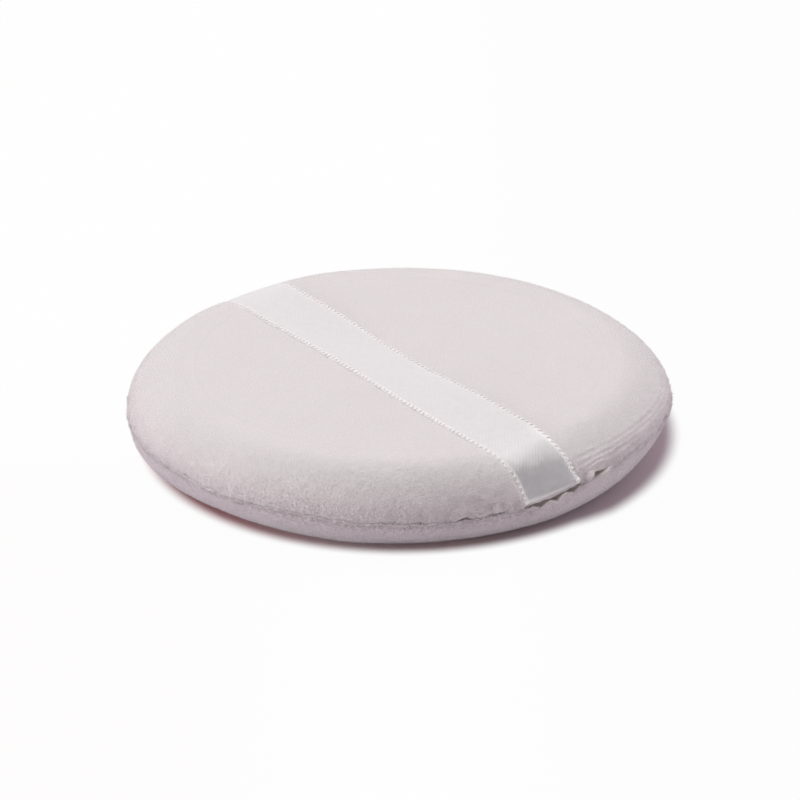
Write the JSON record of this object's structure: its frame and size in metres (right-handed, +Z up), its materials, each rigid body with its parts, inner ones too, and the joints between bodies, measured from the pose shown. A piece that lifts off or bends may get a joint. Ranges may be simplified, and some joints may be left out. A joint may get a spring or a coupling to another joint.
{
  "type": "powder puff",
  "caption": "Round velour powder puff, a soft flat pad sewn round the rim over a foam disc, with a satin ribbon across the back that lifts for the fingers.",
  "frame": {"origin": "middle of the powder face, the flat underside that rests on the table", "axes": "+Z up through the thickness, from the powder face to the back; +X along the ribbon towards its near end, beside the closed turning gap; +Y across the ribbon"},
  "size_m": [0.0872, 0.086, 0.0146],
  "materials": {
    "velour": "short dense velour pile, warm white",
    "foam": "soft open-cell polyurethane foam, matte",
    "thread": "spun polyester sewing thread",
    "satin": "white satin ribbon with beaded selvedges"
  },
  "bodies": {
    "pad": {"back_cover": "velour", "face_cover": "velour", "foam_core": "foam", "needle_thread": "thread", "bobbin_thread": "thread", "closing_thread": "thread", "ribbon_near_tail": "satin", "ribbon_far_tail": "satin"},
    "ribbon": {"ribbon_span": "satin"}
  },
  "joints": [
    {"name": "ribbon_lift", "type": "slide", "parent": "pad", "child": "ribbon", "axis": [0, 0, 1], "range_m": [0, 0.01]}
  ]
}
